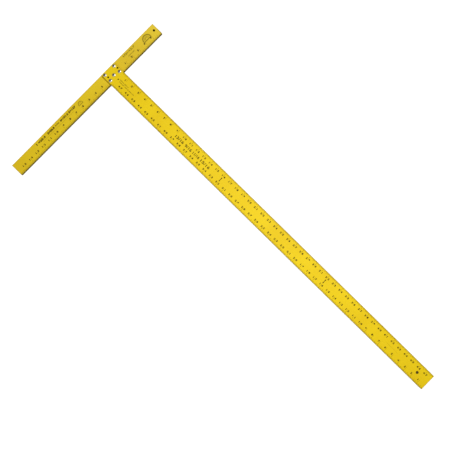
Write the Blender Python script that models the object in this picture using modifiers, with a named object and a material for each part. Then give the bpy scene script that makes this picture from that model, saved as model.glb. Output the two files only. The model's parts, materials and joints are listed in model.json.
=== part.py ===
"""A fixed drywall T-square: an aluminium blade riveted across the top of a channel-shaped head.

Run it with blender --background --python part.py, or from Blender's text editor. Units are metres.
+Z is up through the marked face, +Y points from the blade's free end to the head, and +X points
to the short arm of the head. The origin is the middle of the overall box, at the level that the
head's legs stand on.
"""
import math

import bmesh
import bpy
from mathutils import Matrix, Vector

INCH = 0.0254
FIT_GAP = 0.0003                      # left between pieces that touch

# Head: an extruded channel, legs down, with its inner leg as the fence
HEAD_LENGTH = 22.0625 * INCH
HEAD_WIDTH = 1.5 * INCH               # outer face to fence face
HEAD_HEIGHT = 0.4375 * INCH
WEB_THICKNESS = 0.125 * INCH
LEG_THICKNESS = 0.0024
HEAD_EDGE_RADIUS = 0.0007
HEAD_INNER_RADIUS = 0.0010

# Blade: a flat bar that lies over the head
BLADE_WIDTH = 2 * INCH
BLADE_THICKNESS = 0.1875 * INCH
BLADE_REACH = 47.875 * INCH           # fence face to free end, the length its scale reads
BLADE_SETBACK = 0.0012                # its head end stops short of the head's outer face
BLADE_EDGE_BEVEL = 0.0004
SHORT_ARM = 6.0625 * INCH             # head from the blade's right edge to the head's right end

# Blind rivets
RIVET_FLANGE_RADIUS = 0.00475
RIVET_FLANGE_RIM = 0.0004
RIVET_FLANGE_HEIGHT = 0.00195
RIVET_SHANK_RADIUS = 0.00238
RIVET_BORE_RADIUS = 0.00175
RIVET_BULB_RADIUS = 0.0034
RIVET_BULB_LENGTH = 0.0032
RIVET_TAIL_RADIUS = 0.0026
STEM_RADIUS = 0.00145
STEM_HEAD_RADIUS = 0.0021
STEM_HEAD_LENGTH = 0.0014
STEM_RECESS = 0.0015                  # broken end below the top of the flange

# Rivet pattern, measured from the head's outer face and from the blade's centreline
RIVET_COLUMN = 0.0182
RIVET_OUTER_ROW = 0.0083
RIVET_INNER_ROW = 0.0301
RIVET_MIDDLE_ROW = 0.0258

# Other holes
LOCATING_HOLE_RADIUS = 0.0021
LOCATING_HOLE_ROW = HEAD_WIDTH / 2
LOCATING_HOLE_COLUMN = 0.0186
LOCATING_HOLE_SHIFT = 0.0028          # of the pair towards the short arm
HEAD_HANG_HOLE_RADIUS = 0.125 * INCH
HEAD_HANG_HOLE_FROM_END = 0.0105
HEAD_HANG_HOLE_ROW = 0.0164
BLADE_HANG_HOLE_RADIUS = 0.15625 * INCH
BLADE_HANG_HOLE_FROM_END = 1.625 * INCH

# Smoothness
HOLE_SEGMENTS = 24
RIVET_STEPS = 24
STEM_STEPS = 16
CORNER_SEGMENTS = 3
DOME_SEGMENTS = 5
SMOOTH_ANGLE = math.radians(30)

# Places that follow from the sizes
OUTER_FACE_Y = (BLADE_REACH + HEAD_WIDTH) / 2
FENCE_FACE_Y = OUTER_FACE_Y - HEAD_WIDTH
BLADE_END_Y = -OUTER_FACE_Y
BLADE_LENGTH = BLADE_REACH + HEAD_WIDTH - BLADE_SETBACK
BLADE_CENTRE_X = HEAD_LENGTH / 2 - SHORT_ARM - BLADE_WIDTH / 2
BLADE_BOTTOM_Z = HEAD_HEIGHT + FIT_GAP
BLADE_TOP_Z = BLADE_BOTTOM_Z + BLADE_THICKNESS
FLANGE_SEAT_Z = BLADE_TOP_Z + FIT_GAP
WEB_UNDERSIDE_Z = HEAD_HEIGHT - WEB_THICKNESS
RIVET_HOLE_RADIUS = RIVET_SHANK_RADIUS + FIT_GAP
CUT_MARGIN = 0.004

# The outline's axes (x, y) and its extrusion stand for these world axes
ALONG_X = Matrix(((0, 0, 1, 0), (1, 0, 0, 0), (0, 1, 0, 0), (0, 0, 0, 1)))


def clear_scene():
    for obj in list(bpy.data.objects):
        bpy.data.objects.remove(obj, do_unlink=True)


def new_collection(name):
    collection = bpy.data.collections.new(name)
    bpy.context.scene.collection.children.link(collection)
    return collection


def principled(name, colour, roughness, metallic):
    material = bpy.data.materials.new(name)
    material.use_nodes = True
    shader = material.node_tree.nodes["Principled BSDF"]
    shader.inputs["Base Color"].default_value = (*colour, 1.0)
    shader.inputs["Roughness"].default_value = roughness
    shader.inputs["Metallic"].default_value = metallic
    return material


def add_object(name, data, collection, material=None):
    obj = bpy.data.objects.new(name, data)
    collection.objects.link(obj)
    if material is not None:
        data.materials.append(material)
    return obj


def shade_round(mesh):
    mesh.shade_smooth()
    mesh.set_sharp_from_angle(angle=SMOOTH_ANGLE)


def rounded_outline(corners):
    """Points round a polygon given as (x, y, radius), with an arc at each corner that has a radius."""
    points = []
    count = len(corners)
    for index, (x, y, radius) in enumerate(corners):
        corner = Vector((x, y))
        if radius == 0:
            points.append(corner)
            continue
        before = (Vector(corners[index - 1][:2]) - corner).normalized()
        after = (Vector(corners[(index + 1) % count][:2]) - corner).normalized()
        half_angle = before.angle(after) / 2
        centre = corner + (before + after).normalized() * (radius / math.sin(half_angle))
        start = corner + before * (radius / math.tan(half_angle)) - centre
        end = corner + after * (radius / math.tan(half_angle)) - centre
        for step in range(CORNER_SEGMENTS + 1):
            share = step / CORNER_SEGMENTS
            points.append(centre + start.normalized().slerp(end.normalized(), share) * radius)
    return points


def extruded_mesh(name, points, length, matrix):
    """A closed mesh of a flat outline, extruded by length about its own plane."""
    curve = bpy.data.curves.new(name + "_outline", "CURVE")
    curve.dimensions = "2D"
    curve.fill_mode = "BOTH"
    curve.extrude = length / 2
    spline = curve.splines.new("POLY")
    spline.points.add(len(points) - 1)
    for point, place in zip(spline.points, points):
        point.co = (place.x, place.y, 0.0, 1.0)
    spline.use_cyclic_u = True
    outline = bpy.data.objects.new(name + "_outline", curve)
    bpy.context.scene.collection.objects.link(outline)
    outline.matrix_world = matrix
    depsgraph = bpy.context.evaluated_depsgraph_get()
    mesh = bpy.data.meshes.new_from_object(outline.evaluated_get(depsgraph))
    mesh.name = name
    work = bmesh.new()
    work.from_mesh(mesh)
    bmesh.ops.remove_doubles(work, verts=work.verts, dist=0.00001)
    bmesh.ops.recalc_face_normals(work, faces=work.faces)
    work.to_mesh(mesh)
    work.free()
    place = outline.matrix_world.copy()
    bpy.data.objects.remove(outline, do_unlink=True)
    bpy.data.curves.remove(curve)
    return mesh, place


def cylinder_cutter(name, x, y, radius, low, high, collection):
    """A hidden upright cylinder that a Boolean takes away."""
    work = bmesh.new()
    bmesh.ops.create_cone(work, cap_ends=True, segments=HOLE_SEGMENTS, radius1=radius,
                          radius2=radius, depth=high - low)
    mesh = bpy.data.meshes.new(name)
    work.to_mesh(mesh)
    work.free()
    cutter = add_object(name, mesh, collection)
    cutter.location = (x, y, (low + high) / 2)
    cutter.rotation_euler.z = math.pi / HOLE_SEGMENTS
    cutter.hide_render = True
    cutter.display_type = "WIRE"


def cut(obj, cutters):
    """One Boolean takes away every cutter in the collection."""
    modifier = obj.modifiers.new("holes", "BOOLEAN")
    modifier.operation = "DIFFERENCE"
    modifier.solver = "EXACT"
    modifier.operand_type = "COLLECTION"
    modifier.collection = cutters


def rivet_places():
    """Centres of the five rivets: two columns of two, and one on the centreline."""
    places = []
    for side in (-1, 1):
        for row in (RIVET_OUTER_ROW, RIVET_INNER_ROW):
            places.append((BLADE_CENTRE_X + side * RIVET_COLUMN, OUTER_FACE_Y - row))
    places.append((BLADE_CENTRE_X, OUTER_FACE_Y - RIVET_MIDDLE_ROW))
    return places


def locating_places():
    y = OUTER_FACE_Y - LOCATING_HOLE_ROW
    middle = BLADE_CENTRE_X + LOCATING_HOLE_SHIFT
    return [(middle + side * LOCATING_HOLE_COLUMN, y) for side in (-1, 1)]


def joint_cutters(piece, low, high, collection):
    """Cutters for the rivet and locating holes that pass through both long pieces."""
    for number, (x, y) in enumerate(rivet_places(), 1):
        cylinder_cutter(f"{piece}_rivet_hole_{number}", x, y, RIVET_HOLE_RADIUS, low, high, collection)
    for number, (x, y) in enumerate(locating_places(), 1):
        cylinder_cutter(f"{piece}_locating_hole_{number}", x, y, LOCATING_HOLE_RADIUS, low, high, collection)


def head_profile():
    """Section of the head as seen from its right end, x for world Y and y for world Z."""
    inner_y = FENCE_FACE_Y + LEG_THICKNESS
    outer_y = OUTER_FACE_Y - LEG_THICKNESS
    return rounded_outline([
        (FENCE_FACE_Y, HEAD_HEIGHT, HEAD_EDGE_RADIUS),
        (FENCE_FACE_Y, 0, 0),
        (inner_y, 0, 0),
        (inner_y, WEB_UNDERSIDE_Z, HEAD_INNER_RADIUS),
        (outer_y, WEB_UNDERSIDE_Z, HEAD_INNER_RADIUS),
        (outer_y, 0, 0),
        (OUTER_FACE_Y, 0, 0),
        (OUTER_FACE_Y, HEAD_HEIGHT, HEAD_EDGE_RADIUS),
    ])


def make_head(collection, material):
    mesh, place = extruded_mesh("head", head_profile(), HEAD_LENGTH, ALONG_X)
    shade_round(mesh)
    head = add_object("head", mesh, collection, material)
    head.matrix_world = place
    low = WEB_UNDERSIDE_Z - CUT_MARGIN
    high = HEAD_HEIGHT + CUT_MARGIN
    cutters = new_collection("head_cutters")
    joint_cutters("head", low, high, cutters)
    hang_x = HEAD_LENGTH / 2 - HEAD_HANG_HOLE_FROM_END
    hang_y = OUTER_FACE_Y - HEAD_HANG_HOLE_ROW
    cylinder_cutter("head_hang_hole", hang_x, hang_y, HEAD_HANG_HOLE_RADIUS, low, high, cutters)
    cut(head, cutters)


def make_blade(collection, material):
    work = bmesh.new()
    bmesh.ops.create_cube(work, size=1.0)
    bmesh.ops.scale(work, verts=work.verts, vec=(BLADE_WIDTH, BLADE_LENGTH, BLADE_THICKNESS))
    mesh = bpy.data.meshes.new("blade")
    work.to_mesh(mesh)
    work.free()
    blade = add_object("blade", mesh, collection, material)
    blade.location = (BLADE_CENTRE_X, -BLADE_SETBACK / 2, BLADE_BOTTOM_Z + BLADE_THICKNESS / 2)
    bevel = blade.modifiers.new("edge_break", "BEVEL")
    bevel.width = BLADE_EDGE_BEVEL
    bevel.segments = 2
    bevel.limit_method = "ANGLE"
    low = BLADE_BOTTOM_Z - CUT_MARGIN
    high = BLADE_TOP_Z + CUT_MARGIN
    cutters = new_collection("blade_cutters")
    joint_cutters("blade", low, high, cutters)
    hang_y = BLADE_END_Y + BLADE_HANG_HOLE_FROM_END
    cylinder_cutter("blade_hang_hole", BLADE_CENTRE_X, hang_y, BLADE_HANG_HOLE_RADIUS, low, high, cutters)
    cut(blade, cutters)


def dome_arc(outer_radius, inner_radius, rise):
    """Points (radius, height) from the hole at the top of a shallow dome down to its rim."""
    sphere = (outer_radius ** 2 + rise ** 2) / (2 * rise)
    first = math.asin(inner_radius / sphere)
    last = math.asin(outer_radius / sphere)
    points = []
    for step in range(DOME_SEGMENTS + 1):
        angle = first + (last - first) * step / DOME_SEGMENTS
        points.append((sphere * math.sin(angle), sphere * math.cos(angle) - sphere + rise))
    return points


def turned_mesh(name, profile, steps, closed):
    """A profile of (radius, z) turned about Z with a Screw modifier, as a plain mesh."""
    mesh = bpy.data.meshes.new(name)
    edges = [(index, index + 1) for index in range(len(profile) - 1)]
    if closed:
        edges.append((len(profile) - 1, 0))
    mesh.from_pydata([(radius, 0.0, z) for radius, z in profile], edges, [])
    turned = bpy.data.objects.new(name, mesh)
    bpy.context.scene.collection.objects.link(turned)
    screw = turned.modifiers.new("turn", "SCREW")
    screw.axis = "Z"
    screw.steps = steps
    screw.render_steps = steps
    screw.use_merge_vertices = True
    screw.merge_threshold = 0.00001
    depsgraph = bpy.context.evaluated_depsgraph_get()
    result = bpy.data.meshes.new_from_object(turned.evaluated_get(depsgraph))
    result.name = name
    bpy.data.objects.remove(turned, do_unlink=True)
    shade_round(result)
    return result


def rivet_body_profile():
    """Closed section of a set rivet body, heights from the flange seat."""
    rise = RIVET_FLANGE_HEIGHT - RIVET_FLANGE_RIM
    dome = dome_arc(RIVET_FLANGE_RADIUS, RIVET_BORE_RADIUS, rise)
    bulb_top = WEB_UNDERSIDE_Z - FIT_GAP - FLANGE_SEAT_Z
    tail = bulb_top - RIVET_BULB_LENGTH
    profile = [(radius, height + RIVET_FLANGE_RIM) for radius, height in dome]
    profile.append((RIVET_FLANGE_RADIUS, 0.0))
    profile.append((RIVET_SHANK_RADIUS, 0.0))
    profile.append((RIVET_SHANK_RADIUS, bulb_top))
    profile.append((RIVET_BULB_RADIUS, bulb_top))
    profile.append((RIVET_BULB_RADIUS, bulb_top - RIVET_BULB_LENGTH * 0.6))
    profile.append((RIVET_TAIL_RADIUS, tail))
    profile.append((RIVET_BORE_RADIUS, tail))
    return profile


def stem_profile():
    """Open section of the broken stem, from its top centre to its bottom centre."""
    top = RIVET_FLANGE_HEIGHT - STEM_RECESS
    tail = WEB_UNDERSIDE_Z - FIT_GAP - FLANGE_SEAT_Z - RIVET_BULB_LENGTH
    head_top = tail - FIT_GAP
    head_bottom = head_top - STEM_HEAD_LENGTH
    return [
        (0.0, top),
        (STEM_RADIUS, top),
        (STEM_RADIUS, head_top),
        (STEM_HEAD_RADIUS, head_top),
        (STEM_HEAD_RADIUS, head_bottom + STEM_HEAD_LENGTH / 2),
        (STEM_RADIUS, head_bottom),
        (0.0, head_bottom),
    ]


def make_rivets(collection, body_material, stem_material):
    body_mesh = turned_mesh("rivet_body", rivet_body_profile(), RIVET_STEPS, closed=True)
    stem_mesh = turned_mesh("rivet_stem", stem_profile(), STEM_STEPS, closed=False)
    body_mesh.materials.append(body_material)
    stem_mesh.materials.append(stem_material)
    for number, (x, y) in enumerate(rivet_places(), 1):
        for name, mesh in (("rivet", body_mesh), ("rivet_stem", stem_mesh)):
            piece = add_object(f"{name}_{number}", mesh, collection)
            piece.location = (x, y, FLANGE_SEAT_Z)


def main():
    clear_scene()
    parts = new_collection("t_square")
    enamel = principled("yellow_enamel", (0.74, 0.50, 0.02), 0.38, 0.0)
    aluminium = principled("bare_aluminium", (0.83, 0.84, 0.85), 0.28, 1.0)
    steel = principled("stem_steel", (0.42, 0.42, 0.43), 0.45, 1.0)
    make_head(parts, enamel)
    make_blade(parts, enamel)
    make_rivets(parts, aluminium, steel)


main()
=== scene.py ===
import json
import math
import bmesh
import bpy
from mathutils import Matrix, Vector

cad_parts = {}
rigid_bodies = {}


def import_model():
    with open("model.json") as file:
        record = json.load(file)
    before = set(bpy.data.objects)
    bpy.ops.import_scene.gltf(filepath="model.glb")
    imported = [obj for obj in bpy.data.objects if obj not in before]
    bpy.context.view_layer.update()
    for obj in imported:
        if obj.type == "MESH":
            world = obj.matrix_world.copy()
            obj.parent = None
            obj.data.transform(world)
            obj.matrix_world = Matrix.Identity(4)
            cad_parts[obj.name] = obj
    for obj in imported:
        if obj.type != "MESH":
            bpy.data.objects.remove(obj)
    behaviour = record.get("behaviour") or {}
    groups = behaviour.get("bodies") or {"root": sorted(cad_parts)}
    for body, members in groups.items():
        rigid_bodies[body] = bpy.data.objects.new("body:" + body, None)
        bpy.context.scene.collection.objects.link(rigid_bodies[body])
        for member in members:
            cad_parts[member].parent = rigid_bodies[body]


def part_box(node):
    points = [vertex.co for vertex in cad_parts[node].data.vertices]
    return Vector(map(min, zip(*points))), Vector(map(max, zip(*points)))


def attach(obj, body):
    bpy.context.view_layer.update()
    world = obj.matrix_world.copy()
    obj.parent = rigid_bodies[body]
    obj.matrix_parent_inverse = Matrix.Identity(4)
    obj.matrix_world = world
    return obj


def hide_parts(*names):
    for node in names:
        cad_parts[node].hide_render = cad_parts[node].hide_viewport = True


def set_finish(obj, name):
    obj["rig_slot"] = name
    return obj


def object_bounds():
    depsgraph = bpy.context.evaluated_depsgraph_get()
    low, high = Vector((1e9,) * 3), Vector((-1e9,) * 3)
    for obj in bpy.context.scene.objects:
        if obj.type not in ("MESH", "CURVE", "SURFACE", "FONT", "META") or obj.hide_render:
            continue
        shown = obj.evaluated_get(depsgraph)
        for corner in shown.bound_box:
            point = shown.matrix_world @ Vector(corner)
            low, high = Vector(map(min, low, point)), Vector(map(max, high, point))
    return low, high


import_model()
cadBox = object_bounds()

inch = 0.0254

# where the parts lie, read from the frame
bladeLow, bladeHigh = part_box("blade")
headLow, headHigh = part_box("head")
rivetNames = [f"rivet_{number}" for number in range(1, 6)]
stemNames = [f"rivet_stem_{number}" for number in range(1, 6)]
bladeCentre = (bladeLow + bladeHigh) / 2
headCentre = (headLow + headHigh) / 2
fenceY = headLow.y               # inner face of the head, where both scales start
bladeTop = bladeHigh.z
headTop = headHigh.z
bladeRight = bladeHigh.x
bladeLeft = bladeLow.x


def rivetPlace(name):
    low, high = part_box(name)
    return Vector(((low.x + high.x) / 2, (low.y + high.y) / 2, 0))


rivetPlaces = [rivetPlace(name) for name in rivetNames]


# small helpers for meshes

def linkObject(name, data):
    made = bpy.data.objects.new(name, data)
    bpy.context.scene.collection.objects.link(made)
    return made


def settledMesh(source, name):
    # the evaluated shape of an object as a plain mesh
    depsgraph = bpy.context.evaluated_depsgraph_get()
    mesh = bpy.data.meshes.new_from_object(source.evaluated_get(depsgraph))
    mesh.name = name
    return mesh


def cleanMesh(mesh, place=None, merge=0.000001):
    work = bmesh.new()
    work.from_mesh(mesh)
    if place is not None:
        bmesh.ops.transform(work, matrix=place, verts=work.verts)
    bmesh.ops.remove_doubles(work, verts=work.verts, dist=merge)
    bmesh.ops.dissolve_degenerate(work, edges=work.edges, dist=merge / 4)
    bmesh.ops.recalc_face_normals(work, faces=work.faces)
    work.to_mesh(mesh)
    work.free()
    return mesh


def shadeCrisp(mesh, flatArea=None, angle=35):
    # round edges shade smoothly, broad faces stay flat
    mesh.shade_smooth()
    mesh.set_sharp_from_angle(angle=math.radians(angle))
    if flatArea is None:
        return
    for face in mesh.polygons:
        if face.area > flatArea:
            face.use_smooth = False


def finishPiece(piece, slotName, *nodes):
    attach(piece, "root")
    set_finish(piece, slotName)
    if nodes:
        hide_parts(*nodes)
    print(f"  {piece.name}: {len(piece.data.polygons)} faces")
    return piece


def arcPoints(centre, radius, first, last, steps):
    points = []
    for step in range(steps + 1):
        angle = math.radians(first + (last - first) * step / steps)
        points.append((centre[0] + radius * math.cos(angle), centre[1] + radius * math.sin(angle)))
    return points


def roundedBox(low, high, radius, steps=6):
    points = []
    points += arcPoints((high[0] - radius, high[1] - radius), radius, 0, 90, steps)
    points += arcPoints((low[0] + radius, high[1] - radius), radius, 90, 180, steps)
    points += arcPoints((low[0] + radius, low[1] + radius), radius, 180, 270, steps)
    points += arcPoints((high[0] - radius, low[1] + radius), radius, 270, 360, steps)
    return points


def circlePoints(centre, radius, steps=48):
    return arcPoints(centre, radius, 0, 360, steps)[:-1]


def outlineCurve(name, outlines):
    # a flat filled curve, in which outlines inside the first one become holes
    curve = bpy.data.curves.new(name, "CURVE")
    curve.dimensions = "2D"
    curve.fill_mode = "BOTH"
    for outline in outlines:
        spline = curve.splines.new("POLY")
        spline.points.add(len(outline) - 1)
        for point, (x, y) in zip(spline.points, outline):
            point.co = (x, y, 0, 1)
        spline.use_cyclic_u = True
    return curve


def curveMesh(curve, name):
    # a curve or a line of text as a mesh; the curve itself goes
    holder = linkObject(name + "Holder", curve)
    mesh = settledMesh(holder, name)
    bpy.data.objects.remove(holder, do_unlink=True)
    bpy.data.curves.remove(curve)
    return mesh


def plateMesh(name, outlines, thickness, roundOver, place):
    # a plate with every rim rounded over
    curve = outlineCurve(name, outlines)
    curve.bevel_depth = roundOver
    curve.bevel_resolution = 3
    curve.offset = -roundOver
    curve.extrude = thickness / 2 - roundOver
    return cleanMesh(curveMesh(curve, name), place)


def turnedMesh(name, profile, steps, closed):
    # a profile of (radius, z) turned about Z
    mesh = bpy.data.meshes.new(name)
    edges = [(index, index + 1) for index in range(len(profile) - 1)]
    if closed:
        edges.append((len(profile) - 1, 0))
    mesh.from_pydata([(radius, 0, z) for radius, z in profile], edges, [])
    holder = linkObject(name + "Holder", mesh)
    screw = holder.modifiers.new("turn", "SCREW")
    screw.steps = steps
    screw.render_steps = steps
    screw.use_merge_vertices = True
    screw.merge_threshold = 0.000001
    turned = settledMesh(holder, name)
    bpy.data.objects.remove(holder, do_unlink=True)
    return cleanMesh(turned)


# small helpers for materials

class Nodes:
    # writes shader nodes in one line each; an input is a number, a tuple or another node's output
    def __init__(self, name):
        self.material = bpy.data.materials.new(name)
        self.material.use_nodes = True
        self.tree = self.material.node_tree
        self.shader = self.tree.nodes["Principled BSDF"]

    def feed(self, socket, value):
        if isinstance(value, bpy.types.NodeSocket):
            self.tree.links.new(value, socket)
        else:
            socket.default_value = value

    def make(self, kind, **settings):
        node = self.tree.nodes.new(kind)
        for key, value in settings.items():
            setattr(node, key, value)
        return node

    def place(self, centre=(0, 0, 0), scale=(1, 1, 1)):
        coordinates = self.make("ShaderNodeTexCoord")
        mapping = self.make("ShaderNodeMapping", vector_type="POINT")
        mapping.inputs["Location"].default_value = [-c * s for c, s in zip(centre, scale)]
        mapping.inputs["Scale"].default_value = scale
        self.tree.links.new(coordinates.outputs["Object"], mapping.inputs["Vector"])
        return mapping.outputs["Vector"]

    def noise(self, place, scale, detail=2.0, roughness=0.5):
        node = self.make("ShaderNodeTexNoise")
        self.feed(node.inputs["Vector"], place)
        node.inputs["Scale"].default_value = scale
        node.inputs["Detail"].default_value = detail
        node.inputs["Roughness"].default_value = roughness
        return node.outputs["Fac"]

    def cells(self, place, scale, feature="F1"):
        node = self.make("ShaderNodeTexVoronoi", feature=feature)
        self.feed(node.inputs["Vector"], place)
        node.inputs["Scale"].default_value = scale
        return node.outputs["Distance"]

    def math(self, operation, first, second=0.0, clamp=False):
        node = self.make("ShaderNodeMath", operation=operation, use_clamp=clamp)
        self.feed(node.inputs[0], first)
        self.feed(node.inputs[1], second)
        return node.outputs[0]

    def span(self, value, fromLow, fromHigh, toLow=0.0, toHigh=1.0):
        node = self.make("ShaderNodeMapRange", interpolation_type="SMOOTHSTEP")
        self.feed(node.inputs["Value"], value)
        node.inputs["From Min"].default_value = fromLow
        node.inputs["From Max"].default_value = fromHigh
        node.inputs["To Min"].default_value = toLow
        node.inputs["To Max"].default_value = toHigh
        return node.outputs["Result"]

    def mix(self, share, first, second):
        node = self.make("ShaderNodeMix", data_type="RGBA")
        self.feed(node.inputs["Factor"], share)
        colours = [socket for socket in node.inputs if socket.type == "RGBA"]
        self.feed(colours[0], first)
        self.feed(colours[1], second)
        return [socket for socket in node.outputs if socket.type == "RGBA"][0]

    def axes(self, place):
        node = self.make("ShaderNodeSeparateXYZ")
        self.feed(node.inputs[0], place)
        return node.outputs[0], node.outputs[1], node.outputs[2]

    def bump(self, height, distance, strength=1.0, below=None):
        node = self.make("ShaderNodeBump")
        node.inputs["Strength"].default_value = strength
        node.inputs["Distance"].default_value = distance
        self.feed(node.inputs["Height"], height)
        if below is not None:
            self.feed(node.inputs["Normal"], below)
        return node.outputs["Normal"]


def colour(red, green, blue):
    return (red, green, blue, 1.0)


# yellow coating, one recipe for both long parts

paintValues = {
    "yellow": colour(0.87, 0.634, 0.007),
    "deepYellow": colour(0.81, 0.562, 0.006),
    # this colour is grime in the specks, and grime with painted shade along the edges
    "grimeAndEdgeShade": colour(0.30, 0.21, 0.02),
    "metal": colour(0.72, 0.71, 0.68),
    "darkerTone": colour(0.40, 0.29, 0.05),
    "roughness": 0.42,
    "rubbed": colour(0.90, 0.72, 0.10),
    "specular": 0.16,
    "cloudSize": 9,                # all sizes of pattern are in cells to the metre
    "mottleSize": 260,
    "mottleShare": 0.35,
    "edgeBand": 0.0017,            # how far grime and the painted edge shade reach in from an edge
    "edgeShare": 0.85,
    "raggedSize": 420,
    "raggedReach": 0.0011,
    "wornBand": 0.00035,           # how far bare metal reaches in from an edge
    "wornSize": 75,
    "rubLong": 18,
    "rubAcross": 900,
    "rubUp": 300,
    "rubShare": 0.30,
    "rubDepth": 0.00001,
    "speckSize": 190,
    "speckPatches": 40,
    "speckShare": 0.6,
    "peelSize": 520,
    "peelDepth": 0.00002,
}


def paintMaterial(name, low, high, along, tone, values):
    centre = (low + high) / 2
    half = (high - low) / 2
    n = Nodes(name)
    place = n.place(centre)
    # distance from the nearest arris: the middle one of the three distances in from the faces
    inX, inY, inZ = [n.math("SUBTRACT", size, n.math("ABSOLUTE", axis))
                     for size, axis in zip(half, n.axes(place))]
    nearer = n.math("MINIMUM", inX, inY)
    farther = n.math("MAXIMUM", inX, inY)
    fromEdge = n.math("MAXIMUM", nearer, n.math("MINIMUM", farther, inZ))
    cloud = n.noise(place, values["cloudSize"], 3)
    mottle = n.noise(place, values["mottleSize"], 3)
    paint = n.mix(n.span(cloud, 0.3, 0.7), values["yellow"], values["deepYellow"])
    paint = n.mix(n.span(mottle, 0.35, 0.75, 0.0, values["mottleShare"]), paint, values["deepYellow"])
    # the head's copy (tone 0.95) is mixed 5% towards a darker, duller colour; the blade's (tone 1.0) is not
    paint = n.mix(1.0 - tone, paint, values["darkerTone"])
    # a dark band along the edges: partly grime, partly painted shade on the rounded edges
    uneven = n.math("SUBTRACT", n.noise(place, values["raggedSize"], 2), 0.5)
    ragged = n.math("ADD", fromEdge, n.math("MULTIPLY", uneven, values["raggedReach"]))
    edgeShadeAndGrime = n.span(ragged, 0.0, values["edgeBand"], values["edgeShare"], 0.0)
    painted = n.mix(edgeShadeAndGrime, paint, values["grimeAndEdgeShade"])
    # fine rub marks that run with the part
    stretch = [values["rubLong"], values["rubAcross"], values["rubUp"]]
    if along == "y":
        stretch[0], stretch[1] = stretch[1], stretch[0]
    rubs = n.noise(n.place(centre, stretch), 1.0, 2)
    rubShare = n.span(rubs, 0.66, 0.78, 0.0, values["rubShare"])
    painted = n.mix(rubShare, painted, values["rubbed"])
    # specks of dust and pinholes
    specks = n.span(n.cells(place, values["speckSize"]), 0.05, 0.11, 1.0, 0.0)
    patches = n.span(n.noise(place, values["speckPatches"], 1), 0.55, 0.62)
    speckShare = n.math("MULTIPLY", specks, patches)
    painted = n.mix(n.math("MULTIPLY", speckShare, values["speckShare"]), painted, values["grimeAndEdgeShade"])
    # bare metal where the arrises have rubbed through
    wornEdge = n.span(ragged, 0.0, values["wornBand"], 1.0, 0.0)
    worn = n.math("MULTIPLY", wornEdge, n.span(n.noise(place, values["wornSize"], 3), 0.56, 0.64))
    n.feed(n.shader.inputs["Base Color"], n.mix(worn, painted, values["metal"]))
    n.feed(n.shader.inputs["Metallic"], worn)
    rough = n.span(mottle, 0.3, 0.7, values["roughness"] - 0.05, values["roughness"] + 0.07)
    n.feed(n.shader.inputs["Roughness"], n.math("SUBTRACT", rough, n.math("MULTIPLY", worn, 0.12)))
    peel = n.bump(n.noise(place, values["peelSize"], 2), values["peelDepth"], 0.5)
    marks = n.bump(n.math("SUBTRACT", 1.0, rubShare), values["rubDepth"], 0.4, peel)
    n.feed(n.shader.inputs["Normal"], marks)
    n.shader.inputs["Specular IOR Level"].default_value = values["specular"]
    return n.material


def drilledMaterial(name):
    # near-black walls of the drilled holes: painted shade inside the holes, partly raw metal with dirt
    n = Nodes(name)
    place = n.place()
    shadeAndDirt = n.noise(place, 900, 3)
    black = colour(0.010, 0.006, 0.001)
    brown = colour(0.030, 0.020, 0.004)
    n.feed(n.shader.inputs["Base Color"], n.mix(n.span(shadeAndDirt, 0.35, 0.7), black, brown))
    n.feed(n.shader.inputs["Roughness"], n.span(shadeAndDirt, 0.3, 0.7, 0.6, 0.8))
    n.feed(n.shader.inputs["Normal"], n.bump(shadeAndDirt, 0.00005, 0.6))
    n.shader.inputs["Specular IOR Level"].default_value = 0.2
    return n.material


def inkMaterial(name, solid, thin, wear):
    # screen-printed ink, thinner in blotches
    n = Nodes(name)
    place = n.place()
    blotch = n.noise(place, 330, 3, 0.6)
    grain = n.noise(place, 2600, 1)
    share = n.span(n.math("ADD", blotch, n.math("MULTIPLY", grain, 0.25)), 0.52, 0.85, 0.0, wear)
    n.feed(n.shader.inputs["Base Color"], n.mix(share, solid, thin))
    n.feed(n.shader.inputs["Roughness"], n.span(blotch, 0.3, 0.7, 0.45, 0.62))
    n.feed(n.shader.inputs["Normal"], n.bump(grain, 0.000006, 0.5))
    n.shader.inputs["Specular IOR Level"].default_value = 0.08
    return n.material


def aluminiumMaterial(name):
    # tumbled blind-rivet aluminium
    n = Nodes(name)
    place = n.place()
    dull = n.noise(place, 700, 3)
    dents = n.noise(place, 1500, 2)
    bright = colour(0.56, 0.56, 0.52)
    grey = colour(0.40, 0.40, 0.36)
    n.feed(n.shader.inputs["Base Color"], n.mix(n.span(dull, 0.35, 0.7), bright, grey))
    n.feed(n.shader.inputs["Roughness"], n.span(dull, 0.3, 0.7, 0.36, 0.50))
    n.feed(n.shader.inputs["Normal"], n.bump(dents, 0.00003, 0.35))
    n.shader.inputs["Metallic"].default_value = 1.0
    return n.material


def steelMaterial(name):
    # grey broken ends of the rivet stems
    n = Nodes(name)
    place = n.place()
    grain = n.noise(place, 2200, 3)
    stain = n.noise(place, 500, 2)
    grey = colour(0.30, 0.30, 0.30)
    rust = colour(0.12, 0.105, 0.09)
    n.feed(n.shader.inputs["Base Color"], n.mix(n.span(stain, 0.4, 0.65), grey, rust))
    n.feed(n.shader.inputs["Roughness"], n.span(grain, 0.3, 0.7, 0.42, 0.66))
    n.feed(n.shader.inputs["Normal"], n.bump(grain, 0.00012, 0.8))
    n.shader.inputs["Metallic"].default_value = 1.0
    return n.material


bladePaint = paintMaterial("bladeYellow", bladeLow, bladeHigh, "y", 1.0, paintValues)
headPaint = paintMaterial("headYellow", headLow, headHigh, "x", 0.95, paintValues)
blackInk = inkMaterial("blackInk", colour(0.030, 0.020, 0.001), colour(0.22, 0.15, 0.003), 0.5)
fadedInk = inkMaterial("fadedInk", colour(0.30, 0.22, 0.008), colour(0.58, 0.42, 0.010), 0.6)
holeWallShade = drilledMaterial("holeWallShadeDirt")
rivetMetal = aluminiumMaterial("rivetAluminium")
stemMetal = steelMaterial("stemSteel")
print("materials made")


# Geometry Nodes trees

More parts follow.
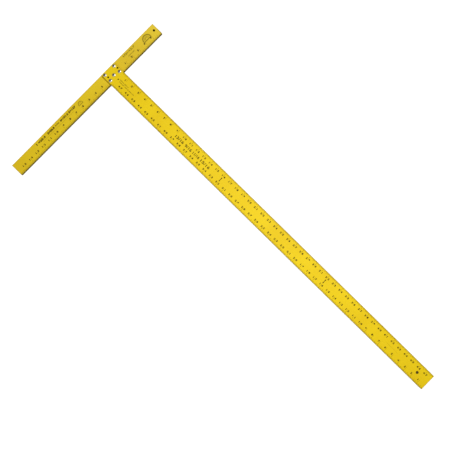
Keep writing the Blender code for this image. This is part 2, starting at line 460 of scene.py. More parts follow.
def newTree(name, inputs):
    tree = bpy.data.node_groups.new(name, "GeometryNodeTree")
    for label, kind in inputs.items():
        tree.interface.new_socket(label, in_out="INPUT", socket_type="NodeSocket" + kind)
    tree.interface.new_socket("Geometry", in_out="OUTPUT", socket_type="NodeSocketGeometry")
    start = tree.nodes.new("NodeGroupInput")
    return tree, start.outputs


def treeNode(tree, kind, inputs=None, **settings):
    # adds one node; an input is a value or another node's output
    node = tree.nodes.new(kind)
    for key, value in settings.items():
        setattr(node, key, value)
    for key, value in (inputs or {}).items():
        if isinstance(value, bpy.types.NodeSocket):
            tree.links.new(value, node.inputs[key])
        else:
            node.inputs[key].default_value = value
    return node


def treeMath(tree, operation, first, second=0.0):
    return treeNode(tree, "ShaderNodeMath", {0: first, 1: second}, operation=operation).outputs[0]


def treeScale(tree, vector, factor):
    node = treeNode(tree, "ShaderNodeVectorMath", {0: vector, "Scale": factor}, operation="SCALE")
    return node.outputs[0]


def treeAdd(tree, first, second):
    return treeNode(tree, "ShaderNodeVectorMath", {0: first, 1: second}, operation="ADD").outputs[0]


def treeEnd(tree, geometry, material):
    # real meshes and one material, because instances aren't exported
    real = treeNode(tree, "GeometryNodeRealizeInstances", {"Geometry": geometry})
    dressed = treeNode(tree, "GeometryNodeSetMaterial",
                       {"Geometry": real.outputs["Geometry"], "Material": material})
    end = tree.nodes.new("NodeGroupOutput")
    tree.links.new(dressed.outputs["Geometry"], end.inputs["Geometry"])
    return tree


def runTree(tree, name, values, base=None):
    # runs a tree on its own object and keeps the result as a plain mesh
    mesh = base or bpy.data.meshes.new(name + "Base")
    made = linkObject(name, mesh)
    modifier = made.modifiers.new("make", "NODES")
    modifier.node_group = tree
    for item in tree.interface.items_tree:
        if item.in_out == "INPUT" and item.name in values:
            modifier[item.identifier] = values[item.name]
    result = settledMesh(made, name)
    made.modifiers.clear()
    made.data = result
    return made


def scaleTicksTree():
    # one closed bar for each sixteenth, longer at eighths, quarters, halves and inches
    tree, given = newTree("scaleTicks", {
        "Count": "Int", "First": "Int", "Start": "Vector", "Step": "Vector", "Across": "Vector",
        "Turn": "Float", "Sixteenth": "Float", "Eighth": "Float", "Quarter": "Float", "Half": "Float",
        "Inch": "Float", "Line": "Float", "Inch Line": "Float", "Thickness": "Float",
        "Material": "Material"})
    firstPlace = treeAdd(tree, given["Start"], treeScale(tree, given["Step"], given["First"]))
    line = treeNode(tree, "GeometryNodeMeshLine",
                    {"Count": given["Count"], "Start Location": firstPlace, "Offset": given["Step"]},
                    mode="OFFSET")
    index = tree.nodes.new("GeometryNodeInputIndex").outputs[0]
    number = treeMath(tree, "ADD", index, given["First"])
    length = given["Sixteenth"]
    width = given["Line"]
    for parts, label in ((2, "Eighth"), (4, "Quarter"), (8, "Half"), (16, "Inch")):
        remainder = treeMath(tree, "MODULO", number, float(parts))
        isWhole = treeMath(tree, "LESS_THAN", remainder, 0.5)
        pick = treeNode(tree, "GeometryNodeSwitch",
                        {"Switch": isWhole, "False": length, "True": given[label]}, input_type="FLOAT")
        length = pick.outputs[0]
        if label == "Inch":
            wide = treeNode(tree, "GeometryNodeSwitch",
                            {"Switch": isWhole, "False": width, "True": given["Inch Line"]},
                            input_type="FLOAT")
            width = wide.outputs[0]
    shift = treeScale(tree, given["Across"], treeMath(tree, "MULTIPLY", length, 0.5))
    places = treeNode(tree, "GeometryNodeSetPosition",
                      {"Geometry": line.outputs["Mesh"], "Offset": shift})
    size = treeNode(tree, "ShaderNodeCombineXYZ", {0: length, 1: width, 2: given["Thickness"]})
    turn = treeNode(tree, "ShaderNodeCombineXYZ", {2: given["Turn"]})
    bar = tree.nodes.new("GeometryNodeMeshCube")
    # length, width and thickness are worked out again at each point, from its number along the row
    copies = treeNode(tree, "GeometryNodeInstanceOnPoints",
                      {"Points": places.outputs["Geometry"], "Instance": bar.outputs["Mesh"],
                       "Rotation": turn.outputs[0], "Scale": size.outputs[0]})
    return treeEnd(tree, copies.outputs["Instances"], given["Material"])


def scaleNumbersTree():
    # numbers at every inch, with their two figures on either side of the inch mark
    tree, given = newTree("scaleNumbers", {
        "Figures": "Collection", "Count": "Int", "First Number": "Int", "Number Step": "Int",
        "Start": "Vector", "Step": "Vector", "Tens Shift": "Vector", "Ones Shift": "Vector",
        "Single Shift": "Vector", "Turn": "Float", "Material": "Material"})
    line = treeNode(tree, "GeometryNodeMeshLine",
                    {"Count": given["Count"], "Start Location": given["Start"], "Offset": given["Step"]},
                    mode="OFFSET")
    index = tree.nodes.new("GeometryNodeInputIndex").outputs[0]
    number = treeMath(tree, "ADD", given["First Number"],
                      treeMath(tree, "MULTIPLY", index, given["Number Step"]))
    tens = treeMath(tree, "FLOOR", treeMath(tree, "DIVIDE", treeMath(tree, "ADD", number, 0.5), 10.0))
    ones = treeMath(tree, "SUBTRACT", number, treeMath(tree, "MULTIPLY", tens, 10.0))
    isPair = treeMath(tree, "GREATER_THAN", number, 9.5)
    figures = treeNode(tree, "GeometryNodeCollectionInfo",
                       {"Collection": given["Figures"], "Separate Children": True, "Reset Children": True})
    turn = treeNode(tree, "ShaderNodeCombineXYZ", {2: given["Turn"]})
    onesShift = treeNode(tree, "GeometryNodeSwitch",
                         {"Switch": isPair, "False": given["Single Shift"], "True": given["Ones Shift"]},
                         input_type="VECTOR")
    joined = tree.nodes.new("GeometryNodeJoinGeometry")
    for shift, figure, chosen in ((onesShift.outputs[0], ones, None), (given["Tens Shift"], tens, isPair)):
        places = treeNode(tree, "GeometryNodeSetPosition",
                          {"Geometry": line.outputs["Mesh"], "Offset": shift})
        copies = treeNode(tree, "GeometryNodeInstanceOnPoints",
                          {"Points": places.outputs["Geometry"], "Instance": figures.outputs[0],
                           "Pick Instance": True, "Instance Index": figure, "Rotation": turn.outputs[0]})
        if chosen is not None:
            tree.links.new(chosen, copies.inputs["Selection"])
        tree.links.new(copies.outputs["Instances"], joined.inputs[0])
    return treeEnd(tree, joined.outputs[0], given["Material"])


def copiesTree():
    # a copy of one shape at every point of the base mesh
    tree, given = newTree("copiesAtPoints", {
        "Geometry": "Geometry", "Shape": "Object", "Material": "Material"})
    shape = treeNode(tree, "GeometryNodeObjectInfo", {"Object": given["Shape"]})
    copies = treeNode(tree, "GeometryNodeInstanceOnPoints",
                      {"Points": given["Geometry"], "Instance": shape.outputs["Geometry"]})
    return treeEnd(tree, copies.outputs["Instances"], given["Material"])


def placedCopies(name, shapeMesh, places, material):
    base = bpy.data.meshes.new(name + "Points")
    base.from_pydata([tuple(place) for place in places], [], [])
    shape = linkObject(name + "Shape", shapeMesh)
    made = runTree(copies, name, {"Shape": shape, "Material": material}, base)
    bpy.data.objects.remove(shape, do_unlink=True)
    return made


copies = copiesTree()
ticks = scaleTicksTree()
numbers = scaleNumbersTree()


# blade

bladeValues = {
    "cornerRadius": 0.0010,
    "roundOver": 0.00045,
    "rivetHole": 0.00268,
    "locatingHole": 0.00212,
    "hangHole": 0.15625 * inch,
    "hangFromEnd": 1.625 * inch,
    "locatingSpread": 0.0186,
    "locatingShift": 0.0028,
}


def locatingPlaces(values):
    middle = bladeCentre.x + values["locatingShift"]
    return [(middle + side * values["locatingSpread"], headCentre.y) for side in (-1, 1)]


def jointHoles(values):
    holes = [(place.x, place.y, values["rivetHole"]) for place in rivetPlaces]
    return holes + [(x, y, values["locatingHole"]) for x, y in locatingPlaces(values)]


def bladeHoles(values):
    return jointHoles(values) + [(bladeCentre.x, bladeLow.y + values["hangFromEnd"], values["hangHole"])]


def makeBlade(values):
    outlines = [roundedBox(bladeLow, bladeHigh, values["cornerRadius"])]
    outlines += [circlePoints((x, y), radius) for x, y, radius in bladeHoles(values)]
    return plateMesh("bladePlate", outlines, bladeHigh.z - bladeLow.z, values["roundOver"],
                     Matrix.Translation((0, 0, bladeCentre.z)))


darkValues = {
    "smallHole": 0.0025,           # a hole below this radius has a dark rim too, painted shade that widens its dark mouth
    "smallReach": 0.0005,
    "smallFlatness": 0.99,
    "reach": 0.0002,
    "flatness": 0.6,
}


def darkenHoles(mesh, holes, values):
    # the walls inside these (x, y, radius) holes take the second material, painted shade partly with dirt,
    # and so do the small holes' rims
    mesh.materials.append(holeWallShade)
    for face in mesh.polygons:
        for x, y, radius in holes:
            isSmall = radius < values["smallHole"]
            flatness = values["smallFlatness"] if isSmall else values["flatness"]
            reach = radius + (values["smallReach"] if isSmall else values["reach"])
            isNear = math.hypot(face.center.x - x, face.center.y - y) < reach
            if isNear and abs(face.normal.z) < flatness:
                face.material_index = 1


bladeMesh = makeBlade(bladeValues)
shadeCrisp(bladeMesh)
for face in bladeMesh.polygons:
    if abs(face.normal.z) > 0.9999:  # the two broad faces
        face.use_smooth = False
bladeMesh.materials.append(bladePaint)
darkenHoles(bladeMesh, bladeHoles(bladeValues), darkValues)
paintedBlade = linkObject("paintedBlade", bladeMesh)
finishPiece(paintedBlade, "yellow_enamel", "blade")
print("blade made")


# head

headValues = {
    "web": 0.125 * inch,
    "leg": 0.0024,
    "outerRadius": 0.0007,
    "innerRadius": 0.0010,
    "endRound": 0.00025,
    "hangHole": 0.125 * inch,
    "hangFromEnd": 0.0105,
    "hangFromOuter": 0.0164,
    "holeRound": 0.00035,
    "flatArea": 0.0001,            # faces above this area, in square metres, are shaded flat
}


def headOutline(values):
    # the channel's section, anticlockwise
    inner = headLow.y + values["leg"]
    outer = headHigh.y - values["leg"]
    under = headHigh.z - values["web"]
    big = values["outerRadius"]
    small = values["innerRadius"]
    points = []
    points += arcPoints((headHigh.y - big, headHigh.z - big), big, 0, 90, 5)
    points += arcPoints((headLow.y + big, headHigh.z - big), big, 90, 180, 5)
    points += [(headLow.y, headLow.z), (inner, headLow.z)]
    points += arcPoints((inner + small, under - small), small, 180, 90, 5)
    points += arcPoints((outer - small, under - small), small, 90, 0, 5)
    points += [(outer, headLow.z), (headHigh.y, headLow.z)]
    return points


def headHoles(values):
    hang = (headHigh.x - values["hangFromEnd"], headHigh.y - values["hangFromOuter"], values["hangHole"])
    return jointHoles(bladeValues) + [hang]


def flaredCutter(name, x, y, radius, low, high, flare):
    # a round cutter that opens out at the top and bottom faces
    reach = 0.002
    wide = radius + flare
    profile = [(0, low - reach), (wide, low - reach), (wide, low), (radius, low + flare),
               (radius, high - flare), (wide, high), (wide, high + reach), (0, high + reach)]
    cutter = linkObject(name, turnedMesh(name, profile, 48, False))
    cutter.location = (x, y, 0)
    return cutter


def makeHead(values):
    # the section's x, y and thickness become world Y, Z and X
    along = Matrix(((0, 0, 1, headCentre.x), (1, 0, 0, 0), (0, 1, 0, 0), (0, 0, 0, 1)))
    mesh = plateMesh("headChannel", [headOutline(values)], headHigh.x - headLow.x, values["endRound"], along)
    head = linkObject("paintedHead", mesh)
    cutters = bpy.data.collections.new("headCutters")
    under = headHigh.z - values["web"]
    for number, (x, y, radius) in enumerate(headHoles(values)):
        cutter = flaredCutter(f"headCutter{number}", x, y, radius, under, headHigh.z, values["holeRound"])
        cutters.objects.link(cutter)
    holes = head.modifiers.new("holes", "BOOLEAN")
    holes.operation = "DIFFERENCE"
    holes.solver = "EXACT"
    holes.operand_type = "COLLECTION"
    holes.collection = cutters
    cut = settledMesh(head, "paintedHead")
    head.modifiers.clear()
    head.data = cut
    for cutter in list(cutters.objects):
        bpy.data.objects.remove(cutter, do_unlink=True)
    bpy.data.collections.remove(cutters)
    return head


paintedHead = makeHead(headValues)
headMesh = paintedHead.data
shadeCrisp(headMesh, headValues["flatArea"])
headMesh.materials.clear()
headMesh.materials.append(headPaint)
for face in headMesh.polygons:
    face.material_index = 0
darkenHoles(headMesh, headHoles(headValues), darkValues)
finishPiece(paintedHead, "yellow_enamel", "head")
print("head made")


# blind rivets: a domed body with its broken stem down the middle

rivetValues = {
    "flange": 0.00475,
    "rim": 0.00040,
    "rise": 0.00155,
    "bore": 0.00175,
    "shank": 0.00238,
    "bulb": 0.0034,
    "bulbLength": 0.0032,
    "tail": 0.0026,
    "stem": 0.00145,
    "stemHead": 0.0021,
    "stemHeadLength": 0.0014,
    "stemTop": 0.00045,
    "gap": 0.0003,
    "boreEdge": (0.00018, 0.00020),  # the broken edge of its mouth, out and down
    "domeEdge": 0.00012,
    "rimTop": 0.00004,
    "rimFoot": 0.00010,
    "bulbShoulder": 0.0004,
    "bulbTaper": ((0.0, 0.0017), (0.0002, 0.0023)),  # in from its side, down from its top
    # the stem's broken end: share of its radius, depth
    "brokenEnd": ((0, 0.00025), (0.35, 0.00018), (0.6, 0.0), (0.72, 0.00008), (1, 0.0006)),
}


def bulbHeights(values):
    # top and bottom of the blind end under the web, from the flange seat
    top = headHigh.z - headValues["web"] - values["gap"] - seatHeight
    return top, top - values["bulbLength"]


def rivetProfile(values):
    # heights from the flange seat
    flange = values["flange"]
    bore = values["bore"]
    dome = values["rise"] + values["rim"]
    sphere = (flange ** 2 + values["rise"] ** 2) / (2 * values["rise"])
    edgeOut, edgeDown = values["boreEdge"]
    first = math.asin((bore + edgeOut) / sphere)
    last = math.asin((flange - values["domeEdge"]) / sphere)
    points = [(bore, sphere * math.cos(first) - sphere + dome - edgeDown)]
    for radius, height in arcPoints((0, 0), sphere, 90 - math.degrees(first), 90 - math.degrees(last), 12):
        points.append((radius, height - sphere + dome))
    points += [(flange, values["rim"] - values["rimTop"]), (flange, values["rimFoot"]),
               (flange - values["rimFoot"], 0.0)]
    bulb = values["bulb"]
    shoulder = values["bulbShoulder"]
    top, tail = bulbHeights(values)
    points += [(values["shank"], 0.0), (values["shank"], top), (bulb - shoulder, top), (bulb, top - shoulder)]
    points += [(bulb - inward, top - down) for inward, down in values["bulbTaper"]]
    return points + [(values["tail"], tail), (bore, tail)]


def stemProfile(values):
    radius = values["stem"]
    wide = values["stemHead"]
    headTopZ = bulbHeights(values)[1] - values["gap"]
    headBottom = headTopZ - values["stemHeadLength"]
    points = [(radius * share, values["stemTop"] - depth) for share, depth in values["brokenEnd"]]
    return points + [(radius, headTopZ), (wide, headTopZ), (wide, headBottom + values["stemHeadLength"] / 2),
                     (radius, headBottom), (0, headBottom)]


seatHeight = bladeTop + rivetValues["gap"]
seats = [place + Vector((0, 0, seatHeight)) for place in rivetPlaces]
rivetShape = turnedMesh("rivetShape", rivetProfile(rivetValues), 48, True)
shadeCrisp(rivetShape)
rivetBodies = placedCopies("rivetBodies", rivetShape, seats, rivetMetal)
finishPiece(rivetBodies, "bare_aluminium", *rivetNames)
stemShape = turnedMesh("stemShape", stemProfile(rivetValues), 32, False)
shadeCrisp(stemShape)
rivetStems = placedCopies("rivetStems", stemShape, seats, stemMetal)
finishPiece(rivetStems, "stem_steel", *stemNames)
print("rivets made")


# printing: thin raised ink, so that it shows in the mesh too

inkValues = {
    "proud": 0.00003,              # above the paint
    "buried": 0.00001,             # below it, so that no face lies in another
    "figureHeight": 0.0059,
    "figureWidth": 0.0047,
    "figureWeight": 0.060,
    "figureSpread": 0.0044,        # each figure of a pair from its inch mark
    "rowFromCentre": 0.0124,
    "headRowFromFence": 0.0139,
    "bladeLine": 0.00046,
    "headLine": 0.00032,
    "sixteenth": 0.0032,
    "eighth": 0.0041,
    "quarter": 0.0051,
    "half": 0.0066,
    "inch": 0.0150,
    "inchWider": 1.1,
    "headLeft": (3, 13),           # first number and how many, on the arm left of the blade
    "headRight": (1, 5),
}
inkThickness = inkValues["proud"] + inkValues["buried"]
bladeInkZ = bladeTop + (inkValues["proud"] - inkValues["buried"]) / 2
headInkZ = headTop + (inkValues["proud"] - inkValues["buried"]) / 2


def lettersMesh(name, text, weight=0.0):
    # figures as a closed slab, one unit high, standing on the X axis
    curve = bpy.data.curves.new(name, "FONT")
    curve.body = text
    curve.size = 1.0
    curve.resolution_u = 3
    curve.extrude = 0.5
    curve.offset = weight
    return cleanMesh(curveMesh(curve, name), None, 0.0001)


def meshBox(mesh):
    low = Vector([min(v.co[axis] for v in mesh.vertices) for axis in range(3)])
    high = Vector([max(v.co[axis] for v in mesh.vertices) for axis in range(3)])
    return low, high


def gaugeSize(figure):
    low, high = meshBox(lettersMesh("gauge", figure, inkValues["figureWeight"]))
    return high - low


def makeFigures():
    # the ten figures, each centred and at its printed size
    figures = bpy.data.collections.new("figures")
    scaleX = inkValues["figureWidth"] / gaugeSize("8").x
    scaleY = inkValues["figureHeight"] / gaugeSize("0").y
    sizes = Matrix.Diagonal((scaleX, scaleY, inkThickness, 1))
    for digit in range(10):
        mesh = lettersMesh(f"figure{digit}", str(digit), inkValues["figureWeight"])
        low, high = meshBox(mesh)
        mesh.transform(sizes @ Matrix.Translation(-(low + high) / 2))
        figures.objects.link(bpy.data.objects.new(f"figure{digit}", mesh))
    return figures


figures = makeFigures()
alongBlade = math.radians(-90)
halfFigure = inkValues["figureSpread"]


def numberRow(name, start, step, count, first, numberStep, tens, ones, single, turn):
    row = runTree(numbers, name, {
        "Figures": figures, "Count": count, "First Number": first, "Number Step": numberStep,
        "Start": start, "Step": step, "Tens Shift": tens, "Ones Shift": ones, "Single Shift": single,
        "Turn": turn, "Material": blackInk})
    return finishPiece(row, "print_ink")


def tickRow(name, line, count, first, start, step, across, turn):
    row = runTree(ticks, name, {
        "Count": count, "First": first, "Start": start, "Step": step, "Across": across, "Turn": turn,
        "Sixteenth": inkValues["sixteenth"], "Eighth": inkValues["eighth"],
        "Quarter": inkValues["quarter"], "Half": inkValues["half"], "Inch": inkValues["inch"],
        "Line": line, "Inch Line": line * inkValues["inchWider"], "Thickness": inkThickness,
        "Material": blackInk})
    return finishPiece(row, "print_ink")


def printBladeScales():
    edge = bladeValues["roundOver"]
    sixteenths = int((fenceY - bladeLow.y) / inch * 16 + 0.01)     # a hair over, so that the last one counts
    down = (0, -inch / 16, 0)
    line = inkValues["bladeLine"]
    for name, x, inward in (("bladeTicksRight", bladeRight - edge, -1),
                            ("bladeTicksLeft", bladeLeft + edge, 1)):
        tickRow(name, line, sixteenths - 1, 1, (x, fenceY, bladeInkZ), down, (inward, 0, 0), 0.0)
    inches = sixteenths // 16
    row = inkValues["rowFromCentre"]
    step = (0, -inch, 0)
    up = (0, halfFigure, 0)
    under = (0, -halfFigure, 0)
    for name, side, first, change in (("bladeNumbersRight", 1, 1, 1), ("bladeNumbersLeft", -1, inches, -1)):
        start = (bladeCentre.x + side * row, fenceY - inch, bladeInkZ)
        numberRow(name, start, step, inches, first, change, up, under, up, alongBlade)


def printHeadScales():
    # both scales start at the blade's right edge
    zero = bladeRight
    y = fenceY + headValues["outerRadius"]
    leftStart = math.ceil((zero - bladeLeft) / inch * 16 + 0.5)    # the first one clear of the blade
    leftCount = int((zero - headLow.x) / inch * 16) - leftStart
    rightCount = int((headHigh.x - zero) / inch * 16)
    line = inkValues["headLine"]
    upright = math.radians(90)
    for name, count, first, side in (("headTicksLeft", leftCount, leftStart, -1),
                                     ("headTicksRight", rightCount, 1, 1)):
        tickRow(name, line, count, first, (zero, y, headInkZ), (side * inch / 16, 0, 0), (0, 1, 0), upright)
    rowY = fenceY + inkValues["headRowFromFence"]
    left = (-halfFigure, 0, 0)
    right = (halfFigure, 0, 0)
    for name, side, row, single in (("headNumbersLeft", -1, inkValues["headLeft"], right),
                                    ("headNumbersRight", 1, inkValues["headRight"], left)):
        first, count = row
        start = (zero + side * first * inch, rowY, headInkZ)
        numberRow(name, start, (side * inch, 0, 0), count, first, 1, left, right, single, 0.0)


printBladeScales()
printHeadScales()
for figure in list(figures.objects):
    bpy.data.objects.remove(figure, do_unlink=True)
bpy.data.collections.remove(figures)
print("scales printed")


def slabMesh(name, outlines, place=None):
    # flat outlines as a closed slab of ink about z = 0
    curve = outlineCurve(name, outlines)
    curve.extrude = inkThickness / 2
    return cleanMesh(curveMesh(curve, name), place, 0.000002)


def joinedPiece(name, meshes, material):
    work = bmesh.new()
    for mesh in meshes:
        work.from_mesh(mesh)
    joined = bpy.data.meshes.new(name)
    work.to_mesh(joined)
    work.free()
    piece = linkObject(name, joined)
    joined.materials.append(material)
    return finishPiece(piece, "print_ink")


def writeText(text, height, width, place, weight):
    # a line of figures, centred, at the given height and overall width
    mesh = lettersMesh("line", text, weight)
    low, high = meshBox(mesh)
    middle = (low + high) / 2
    sizes = Matrix.Diagonal((width / (high.x - low.x), height / (high.y - low.y), inkThickness, 1))
    mesh.transform(place @ sizes @ Matrix.Translation(-middle))
    return mesh


def onBlade(fromCentre, fromFence):
    place = Matrix.Translation((bladeCentre.x + fromCentre, fenceY - fromFence, bladeInkZ))
    return place @ Matrix.Rotation(alongBlade, 4, "Z")


def onHead(fromLeftEnd, fromFence):
    return Matrix.Translation((headLow.x + fromLeftEnd, fenceY + fromFence, headInkZ))


# double-headed arrows across the blade at the stud spacing
studValues = {"at": (16, 32), "halfLength": 0.0074, "headLength": 0.0036, "headHalfWidth": 0.0023,
              "shaftHalfWidth": 0.0008}


def arrowMesh(values):
    far = values["halfLength"]
    neck = far - values["headLength"]
    wide = values["headHalfWidth"]
    thin = values["shaftHalfWidth"]
    outline = [(far, 0), (neck, wide), (neck, thin), (-neck, thin), (-neck, wide), (-far, 0),
               (-neck, -wide), (-neck, -thin), (neck, -thin), (neck, -wide)]
    return slabMesh("studArrow", [outline])


studPlaces = [(bladeCentre.x, fenceY - at * inch, bladeInkZ) for at in studValues["at"]]
studMarks = placedCopies("studMarks", arrowMesh(studValues), studPlaces, blackInk)
finishPiece(studMarks, "print_ink")

# sixteenths down the middle of the blade: text, width, distance from the fence
middleValues = {
    "height": 0.0084,
    "weight": 0.022,
    "fractions": [("13/16", 0.031, 0.2465), ("9/16", 0.025, 0.2805), ("11/16", 0.024, 0.3105),
                  ("15/16", 0.034, 0.3460)],
}


def printMiddle(values):
    meshes = [writeText(text, values["height"], width, onBlade(0, away), values["weight"])
              for text, width, away in values["fractions"]]
    joinedPiece("bladeFractions", meshes, blackInk)


printMiddle(middleValues)

# small faded notes beside the rivets: text, width, from the centreline, from the fence
bladeNoteValues = {
    "height": 0.0032,
    "weight": 0.06,
    "lines": [("1/4=.25 1/2=.5 3/4=.75", 0.056, -0.0026, 0.0400), ("1/5=.2 2/5=.4", 0.032, 0.0028, 0.0260)],
}


def printBladeNotes(values):
    meshes = [writeText(text, values["height"], width, onBlade(across, away), values["weight"])
              for text, width, across, away in values["lines"]]
    joinedPiece("bladeNotes", meshes, fadedInk)


printBladeNotes(bladeNoteValues)

# the zero dot on the centreline, and a dotted rule near the free end
bladeDotValues = {
    "zeroRadius": 0.0019,
    "zeroFromFence": 0.0050,
    "ruleRadius": 0.0005,
    "ruleFromFence": 1.0565,
    "ruleStep": 0.0021,
    "ruleDots": 20,
}


def printBladeDots(values):
    def dot(away, radius):
        return slabMesh("dot", [circlePoints((0, 0), radius, 16)], onBlade(0, away))

    joinedPiece("zeroDot", [dot(values["zeroFromFence"], values["zeroRadius"])], blackInk)
    dots = [dot(values["ruleFromFence"] + number * values["ruleStep"], values["ruleRadius"])
            for number in range(values["ruleDots"])]
    joinedPiece("dottedRule", dots, fadedInk)


printBladeDots(bladeDotValues)

# how many millimetres the inches are, along the head: text, height, width, from the left end, from the fence
headNoteValues = {
    "weight": 0.055,
    "lines": [
        ("1 =25.4", 0.0062, 0.0350, 0.1065, 0.0293),
        ("2=50.8", 0.0062, 0.0270, 0.1460, 0.0293),
        ("3=76.2", 0.0034, 0.0150, 0.1710, 0.0293),
        ("4=", 0.0062, 0.0085, 0.1870, 0.0293),
        ("101.6 5=127", 0.0062, 0.0500, 0.2180, 0.0293),
    ],
    "fadedWeight": 0.05,
    "fadedLines": [
        ("1/2=12.7", 0.0055, 0.0450, 0.4585, 0.0310),
        ("1/4=6.35", 0.0032, 0.0235, 0.4595, 0.0215),
    ],
    "ruleFrom": 0.109,
    "ruleTo": 0.231,
    "ruleAt": 0.0221,
    "ruleWeight": 0.00045,
}


def printHeadNotes(values):
    def written(lines, weight):
        return [writeText(text, height, width, onHead(away, up), weight)
                for text, height, width, away, up in lines]

    joinedPiece("headConversions", written(values["lines"], values["weight"]), blackInk)
    meshes = written(values["fadedLines"], values["fadedWeight"])
    half = values["ruleWeight"] / 2
    length = values["ruleTo"] - values["ruleFrom"]
    rule = [(0, -half), (length, -half), (length, half), (0, half)]
    meshes.append(slabMesh("rule", [rule], onHead(values["ruleFrom"], values["ruleAt"])))
    joinedPiece("headSmallNotes", meshes, fadedInk)


printHeadNotes(headNoteValues)

# plain half protractors, one on each arm of the head: from the left end, from the fence, radius, rays
protractorValues = {
    "arms": [(0.5195, 0.0180, 0.0145, 9), (0.2585, 0.0225, 0.0085, 5)],
    "gap": 0.1,                    # between ring and base, as a share of the band
    "band": 0.22,                  # this and the rest are shares of the radius
    "ray": 0.07,
    "rayFrom": 0.28,
    "rayTo": 0.74,
}


def protractorMeshes(place, radius, rays, values):
    # a half ring on a base bar, with rays inside it
    band = values["band"] * radius
    ring = arcPoints((0, 0), radius, 0, 180, 24) + arcPoints((0, 0), radius - band, 180, 0, 24)
    gap = band * values["gap"]
    base = [(-radius, -band), (radius, -band), (radius, -gap), (-radius, -gap)]
    meshes = [slabMesh("ring", [ring], place), slabMesh("base", [base], place)]
    thin = values["ray"] * radius / 2
    near = radius * values["rayFrom"]
    far = radius * values["rayTo"]
    outline = [(near, -thin), (far, -thin), (far, thin), (near, thin)]
    for number in range(rays):
        turn = Matrix.Rotation(math.pi * (number + 1) / (rays + 1), 4, "Z")
        meshes.append(slabMesh("ray", [outline], place @ turn))
    return meshes


protractors = []
for away, up, radius, rays in protractorValues["arms"]:
    protractors += protractorMeshes(onHead(away, up), radius, rays, protractorValues)
joinedPiece("headProtractors", protractors, fadedInk)
print("figures printed")


# floor, light and camera

studio = {
    "floorSize": 80.0,
    "floorDrop": 0.0003,           # below the head's legs
    "floorColour": colour(0.90, 0.90, 0.89),
    "floorMottle": colour(0.885, 0.885, 0.88),
    "worldGrey": 0.145,
    # each lamp: aim, degrees round from +X, degrees up, distance, size, power
    "bladeKey": ((0.10, -0.07, 0.0), 2, 61, 1.75, 0.5, 27.3),
    "headKey": ((-0.06, 0.62, 0.0), 42, 54, 2.6, 0.6, 42.5),
    "fillLight": ((0.05, 0.10, 0.0), 172, 52, 2.0, 1.6, 11.0),
    "rivetRight": ((0.10, 0.60, 0.01), -20, 30, 1.2, 0.22, 1.7),
    "rivetFront": ((0.10, 0.60, 0.01), -122, 38, 1.2, 0.45, 0.8),
    "floorLight": 3.55,            # a sun for the floor alone
    "floorLightSpread": 12,
    "floorLightLean": -2.0,        # a little from the left, so that the blade hides its own shadow
    "shadeRadius": 0.012,
    "shadeDrop": 0.0002,
    "bladeShade": 0.75,            # how pale the rounds under the open holes are
    "headShade": 0.012,
    "shadeWarmth": (1.0, 0.9, 0.7),
}


def makeFloor(values):
    half = values["floorSize"] / 2
    mesh = bpy.data.meshes.new("floor")
    corners = [(-half, -half, 0), (half, -half, 0), (half, half, 0), (-half, half, 0)]
    mesh.from_pydata(corners, [], [(0, 1, 2, 3)])
    floor = linkObject("floor", mesh)
    floor.location.z = cadBox[0].z - values["floorDrop"]
    n = Nodes("floorWhite")
    shade = n.noise(n.place(), 3, 2)
    n.feed(n.shader.inputs["Base Color"],
           n.mix(n.span(shade, 0.3, 0.7), values["floorColour"], values["floorMottle"]))
    n.shader.inputs["Roughness"].default_value = 0.9
    n.shader.inputs["Specular IOR Level"].default_value = 0.1
    mesh.materials.append(n.material)
    return floor


def makeHoleShades(values):
    # painted shadow: rounds on the floor under the open holes, with their own colour and reached by no lamp,
    # so they stay as dim as deep shadow
    underHead = headHoles(headValues)[len(rivetPlaces):]
    for name, holes in (("bladeShade", bladeHoles(bladeValues)[-1:]), ("headShade", underHead)):
        mesh = bpy.data.meshes.new(name)
        work = bmesh.new()
        for x, y, radius in holes:
            place = Matrix.Translation((x, y, cadBox[0].z - values["shadeDrop"]))
            bmesh.ops.create_circle(work, cap_ends=True, segments=32, radius=values["shadeRadius"],
                                    matrix=place)
        work.to_mesh(mesh)
        work.free()
        n = Nodes(name)
        tint = colour(*[values[name] * share for share in values["shadeWarmth"]])
        n.shader.inputs["Base Color"].default_value = tint
        n.shader.inputs["Roughness"].default_value = 0.95
        n.shader.inputs["Specular IOR Level"].default_value = 0.0
        mesh.materials.append(n.material)
        linkObject(name, mesh)


def lightBack(azimuth, height):
    # from the lit place towards the lamp
    turn = math.radians(azimuth)
    rise = math.radians(height)
    return Vector((math.cos(turn) * math.cos(rise), math.sin(turn) * math.cos(rise), math.sin(rise)))


def areaLight(name, aim, azimuth, height, distance, size, power):
    light = bpy.data.lights.new(name, "AREA")
    light.shape = "SQUARE"
    light.size = size
    light.energy = power
    lamp = linkObject(name, light)
    back = lightBack(azimuth, height)
    lamp.location = Vector(aim) + back * distance
    lamp.rotation_euler = back.to_track_quat("Z", "Y").to_euler()
    return lamp


def lightOnly(lamp, name, *objects):
    # the lamp lights nothing but these
    group = bpy.data.collections.new(name)
    for lit in objects:
        group.objects.link(lit)
    lamp.light_linking.receiver_collection = group


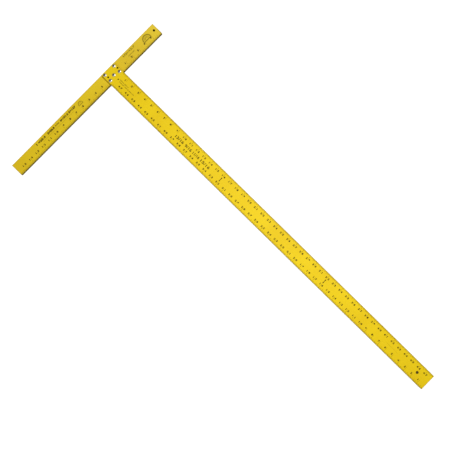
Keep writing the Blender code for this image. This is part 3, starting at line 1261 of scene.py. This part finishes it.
def makeStudio(values):
    floor = makeFloor(values)
    floor.visible_diffuse = False
    floor.visible_glossy = False
    pieces = [piece for piece in bpy.context.scene.objects if "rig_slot" in piece]
    onHeadPieces = [piece for piece in pieces if piece.name.startswith(("head", "paintedHead"))]
    onBladePieces = [piece for piece in pieces if piece not in onHeadPieces]
    lightOnly(areaLight("bladeKey", *values["bladeKey"]), "bladeKeyGroup", *onBladePieces)
    lightOnly(areaLight("headKey", *values["headKey"]), "headKeyGroup", *onHeadPieces)
    lightOnly(areaLight("fillLight", *values["fillLight"]), "fillGroup", *pieces)
    for name in ("rivetRight", "rivetFront"):
        lightOnly(areaLight(name, *values[name]), name + "Group", rivetBodies, rivetStems)
    sun = bpy.data.lights.new("floorLight", "SUN")
    sun.energy = values["floorLight"]
    sun.angle = math.radians(values["floorLightSpread"])
    overhead = linkObject("floorLight", sun)
    overhead.location.z = 3
    overhead.rotation_euler.y = math.radians(values["floorLightLean"])
    lightOnly(overhead, "floorGroup", floor)
    makeHoleShades(values)
    world = bpy.data.worlds.new("studioWorld")
    world.use_nodes = True
    grey = values["worldGrey"]
    world.node_tree.nodes["Background"].inputs["Color"].default_value = (grey, grey, grey, 1)
    bpy.context.scene.world = world
    bpy.context.scene.view_settings.view_transform = "Standard"


makeStudio(studio)

# the camera stands over the middle of the tool, turned so that the blade runs to the lower right
cameraValues = {
    "lens": 57.86,
    "sensor": 36,
    "place": (-0.01427, 0.06449, 2.03644),
    "aim": (0.01645, 0.00982, -0.99982),
    "up": (0.71344, 0.70047, 0.01862),
}


def makeCamera(values):
    camera = bpy.data.cameras.new("camera")
    camera.lens = values["lens"]
    camera.sensor_width = values["sensor"]
    holder = linkObject("camera", camera)
    forward = Vector(values["aim"]).normalized()
    right = forward.cross(Vector(values["up"])).normalized()
    up = right.cross(forward)
    turn = Matrix((right, up, -forward)).transposed().to_4x4()
    holder.matrix_world = Matrix.Translation(values["place"]) @ turn
    bpy.context.scene.camera = holder


makeCamera(cameraValues)
print("studio set")

bpy.context.view_layer.update()
